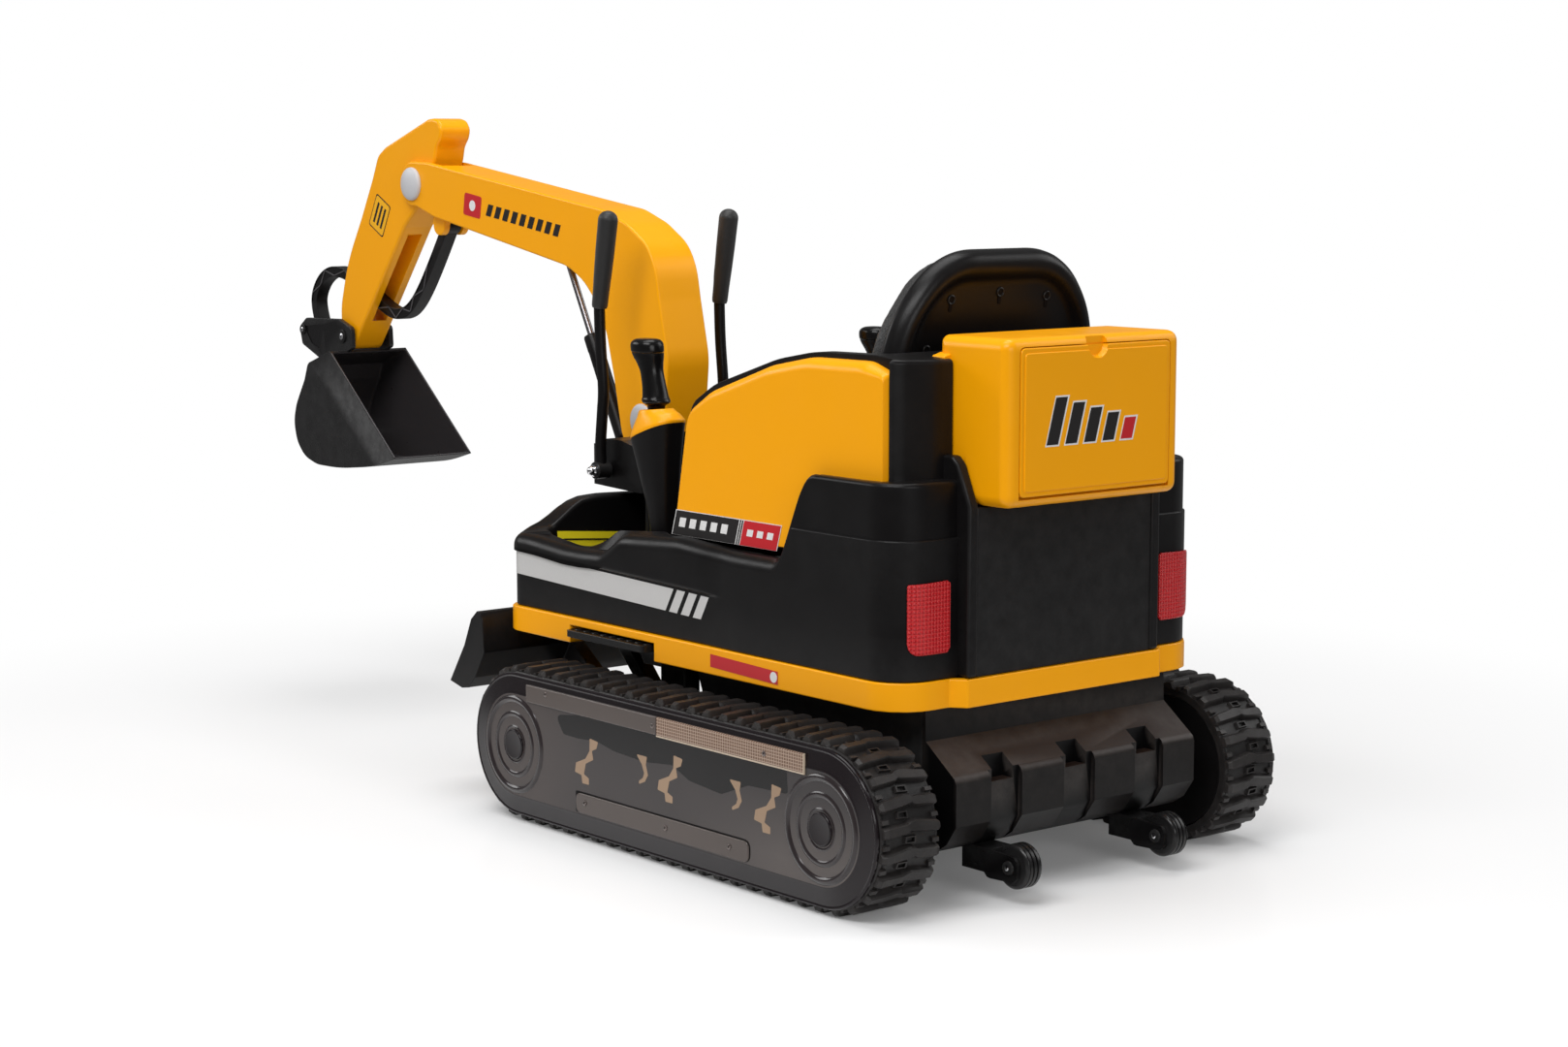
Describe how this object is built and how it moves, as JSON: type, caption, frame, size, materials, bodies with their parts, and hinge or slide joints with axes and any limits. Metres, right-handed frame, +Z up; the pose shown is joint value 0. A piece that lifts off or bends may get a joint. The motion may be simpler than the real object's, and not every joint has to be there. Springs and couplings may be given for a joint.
{
  "type": "ride-on digger",
  "caption": "Ride-on toy excavator for one child with tracks, seat, twin levers, joysticks, rear trunk, blade and a jointed boom, arm and bucket.",
  "frame": {"origin": "on the ground, on the left-right centre plane, under the middle of the whole length from the bucket to the rear casters", "axes": "-Y forward towards the bucket, +Y back towards the trunk, +X the driver's left, +Z up"},
  "size_m": [0.6, 1.5896, 0.81],
  "materials": {
    "yellow_plastic": "glossy moulded",
    "black_plastic": "satin moulded",
    "track_rubber": "matt",
    "grip_rubber": "matt",
    "smoke_plastic": "glossy smoked",
    "grey_cap": "satin",
    "steel": "satin",
    "red_lens": "clear red with a moulded grid",
    "seat_vinyl": "satin, padded",
    "motor_grey": "satin"
  },
  "bodies": {
    "house": {"base_skirt": "yellow_plastic", "battery": "motor_grey", "boom_pin": "grey_cap", "caster_bracket_left": "black_plastic", "caster_bracket_right": "black_plastic", "chassis_frame": "black_plastic", "dozer_blade": "black_plastic", "foot_step_left": "black_plastic", "foot_step_right": "black_plastic", "gear_motor_left": "motor_grey", "gear_motor_right": "motor_grey", "joystick_pod_left": "black_plastic", "joystick_pod_right": "black_plastic", "lower_body": "black_plastic", "pedestal": "black_plastic", "pod_collar_left": "yellow_plastic", "pod_collar_right": "yellow_plastic", "rear_bumper": "black_plastic", "rear_reflector_left": "red_lens", "rear_reflector_right": "red_lens", "seat_back_pad": "seat_vinyl", "seat_back_shell": "black_plastic", "seat_cushion": "seat_vinyl", "side_panel_left": "yellow_plastic", "side_panel_right": "yellow_plastic", "track_belt_left": "track_rubber", "track_belt_right": "track_rubber", "track_cover_left": "smoke_plastic", "track_cover_right": "smoke_plastic", "track_frame_left": "black_plastic", "track_frame_right": "black_plastic", "trunk_box": "yellow_plastic", "trunk_hinge_pin": "steel", "upper_body": "black_plastic"},
    "boom": {"boom": "yellow_plastic", "arm_pin": "grey_cap"},
    "arm": {"arm": "yellow_plastic", "bucket_pin": "steel"},
    "bucket": {"bucket": "black_plastic", "link_pin": "steel"},
    "bucket_link": {"bucket_link": "black_plastic"},
    "strut_cylinder": {"strut_cylinder": "black_plastic"},
    "strut_rod": {"strut_rod": "steel"},
    "lever_left": {"lever_left": "black_plastic", "lever_grip_left": "grip_rubber"},
    "lever_right": {"lever_right": "black_plastic", "lever_grip_right": "grip_rubber"},
    "trunk_door": {"trunk_door": "yellow_plastic"},
    "joystick_left": {"joystick_left": "black_plastic"},
    "joystick_right": {"joystick_right": "black_plastic"},
    "drive_wheel_left": {"drive_wheel_left": "black_plastic"},
    "drive_wheel_right": {"drive_wheel_right": "black_plastic"},
    "idler_wheel_left": {"idler_wheel_left": "black_plastic"},
    "idler_wheel_right": {"idler_wheel_right": "black_plastic"},
    "roller_front_left": {"roller_front_left": "black_plastic"},
    "roller_front_right": {"roller_front_right": "black_plastic"},
    "roller_rear_left": {"roller_rear_left": "black_plastic"},
    "roller_rear_right": {"roller_rear_right": "black_plastic"},
    "caster_wheel_left": {"caster_wheel_left": "black_plastic"},
    "caster_wheel_right": {"caster_wheel_right": "black_plastic"}
  },
  "joints": [
    {"name": "boom_lift", "type": "hinge", "parent": "house", "child": "boom", "pos_m": [0, 0.02863, 0.44], "axis": [1, 0, 0], "range_deg": [-10, 20]},
    {"name": "arm_swing", "type": "hinge", "parent": "boom", "child": "arm", "pos_m": [0, -0.48337, 0.723], "axis": [1, 0, 0], "range_deg": [-20, 0]},
    {"name": "bucket_curl", "type": "hinge", "parent": "arm", "child": "bucket", "pos_m": [0, -0.66738, 0.509], "axis": [1, 0, 0], "range_deg": [-20, 0]},
    {"name": "link_swing", "type": "hinge", "parent": "boom", "child": "bucket_link", "pos_m": [0, -0.43838, 0.6685], "axis": [1, 0, 0], "range_deg": [-23, 0]},
    {"name": "strut_tilt", "type": "hinge", "parent": "house", "child": "strut_cylinder", "pos_m": [0, -0.04437, 0.395], "axis": [1, 0, 0], "range_deg": [-10, 20]},
    {"name": "strut_slide", "type": "slide", "parent": "strut_cylinder", "child": "strut_rod", "axis": [0, -0.4706, 0.8824], "range_m": [-0.03, 0.015]},
    {"name": "lever_left_tilt", "type": "hinge", "parent": "house", "child": "lever_left", "pos_m": [0.092, 0.02863, 0.384], "axis": [1, 0, 0], "range_deg": [-9.5, 18.5]},
    {"name": "lever_right_tilt", "type": "hinge", "parent": "house", "child": "lever_right", "pos_m": [-0.092, 0.02863, 0.384], "axis": [1, 0, 0], "range_deg": [-1, 15]},
    {"name": "trunk_door_hinge", "type": "hinge", "parent": "house", "child": "trunk_door", "pos_m": [0, 0.76313, 0.4235], "axis": [-1, 0, 0], "range_deg": [0, 95]},
    {"name": "joystick_left_tilt", "type": "hinge", "parent": "house", "child": "joystick_left", "pos_m": [0.172, 0.24313, 0.479], "axis": [1, 0, 0], "range_deg": [-12, 12]},
    {"name": "joystick_right_tilt", "type": "hinge", "parent": "house", "child": "joystick_right", "pos_m": [-0.172, 0.24313, 0.479], "axis": [1, 0, 0], "range_deg": [-12, 12]},
    {"name": "drive_left_spin", "type": "hinge", "parent": "house", "child": "drive_wheel_left", "pos_m": [0.257, 0.67863, 0.0905], "axis": [1, 0, 0], "continuous": true},
    {"name": "idler_left_spin", "type": "hinge", "parent": "house", "child": "idler_wheel_left", "pos_m": [0.257, 0.13512, 0.0905], "axis": [1, 0, 0], "continuous": true},
    {"name": "roller_front_left_spin", "type": "hinge", "parent": "house", "child": "roller_front_left", "pos_m": [0.257, 0.30262, 0.045], "axis": [1, 0, 0], "continuous": true},
    {"name": "roller_rear_left_spin", "type": "hinge", "parent": "house", "child": "roller_rear_left", "pos_m": [0.257, 0.51262, 0.045], "axis": [1, 0, 0], "continuous": true},
    {"name": "caster_left_spin", "type": "hinge", "parent": "house", "child": "caster_wheel_left", "pos_m": [0.109, 0.77163, 0.041], "axis": [1, 0, 0], "continuous": true},
    {"name": "drive_right_spin", "type": "hinge", "parent": "house", "child": "drive_wheel_right", "pos_m": [-0.257, 0.67863, 0.0905], "axis": [1, 0, 0], "continuous": true},
    {"name": "idler_right_spin", "type": "hinge", "parent": "house", "child": "idler_wheel_right", "pos_m": [-0.257, 0.13512, 0.0905], "axis": [1, 0, 0], "continuous": true},
    {"name": "roller_front_right_spin", "type": "hinge", "parent": "house", "child": "roller_front_right", "pos_m": [-0.257, 0.30262, 0.045], "axis": [1, 0, 0], "continuous": true},
    {"name": "roller_rear_right_spin", "type": "hinge", "parent": "house", "child": "roller_rear_right", "pos_m": [-0.257, 0.51262, 0.045], "axis": [1, 0, 0], "continuous": true},
    {"name": "caster_right_spin", "type": "hinge", "parent": "house", "child": "caster_wheel_right", "pos_m": [-0.109, 0.77163, 0.041], "axis": [1, 0, 0], "continuous": true}
  ],
  "couplings": [
    {"joint": "bucket_curl", "follows": "arm_swing", "ratio": 0.973},
    {"joint": "link_swing", "follows": "arm_swing", "ratio": 1.1446},
    {"joint": "strut_tilt", "follows": "boom_lift", "ratio": 0.997},
    {"joint": "strut_slide", "follows": "boom_lift", "m_per_rad": -0.0848},
    {"joint": "lever_left_tilt", "follows": "boom_lift", "ratio": 0.9},
    {"joint": "lever_right_tilt", "follows": "arm_swing", "ratio": -0.7},
    {"joint": "idler_left_spin", "follows": "drive_left_spin", "ratio": 1},
    {"joint": "roller_front_left_spin", "follows": "drive_left_spin", "ratio": 2.59},
    {"joint": "roller_rear_left_spin", "follows": "drive_left_spin", "ratio": 2.59},
    {"joint": "idler_right_spin", "follows": "drive_right_spin", "ratio": 1},
    {"joint": "roller_front_right_spin", "follows": "drive_right_spin", "ratio": 2.59},
    {"joint": "roller_rear_right_spin", "follows": "drive_right_spin", "ratio": 2.59}
  ]
}
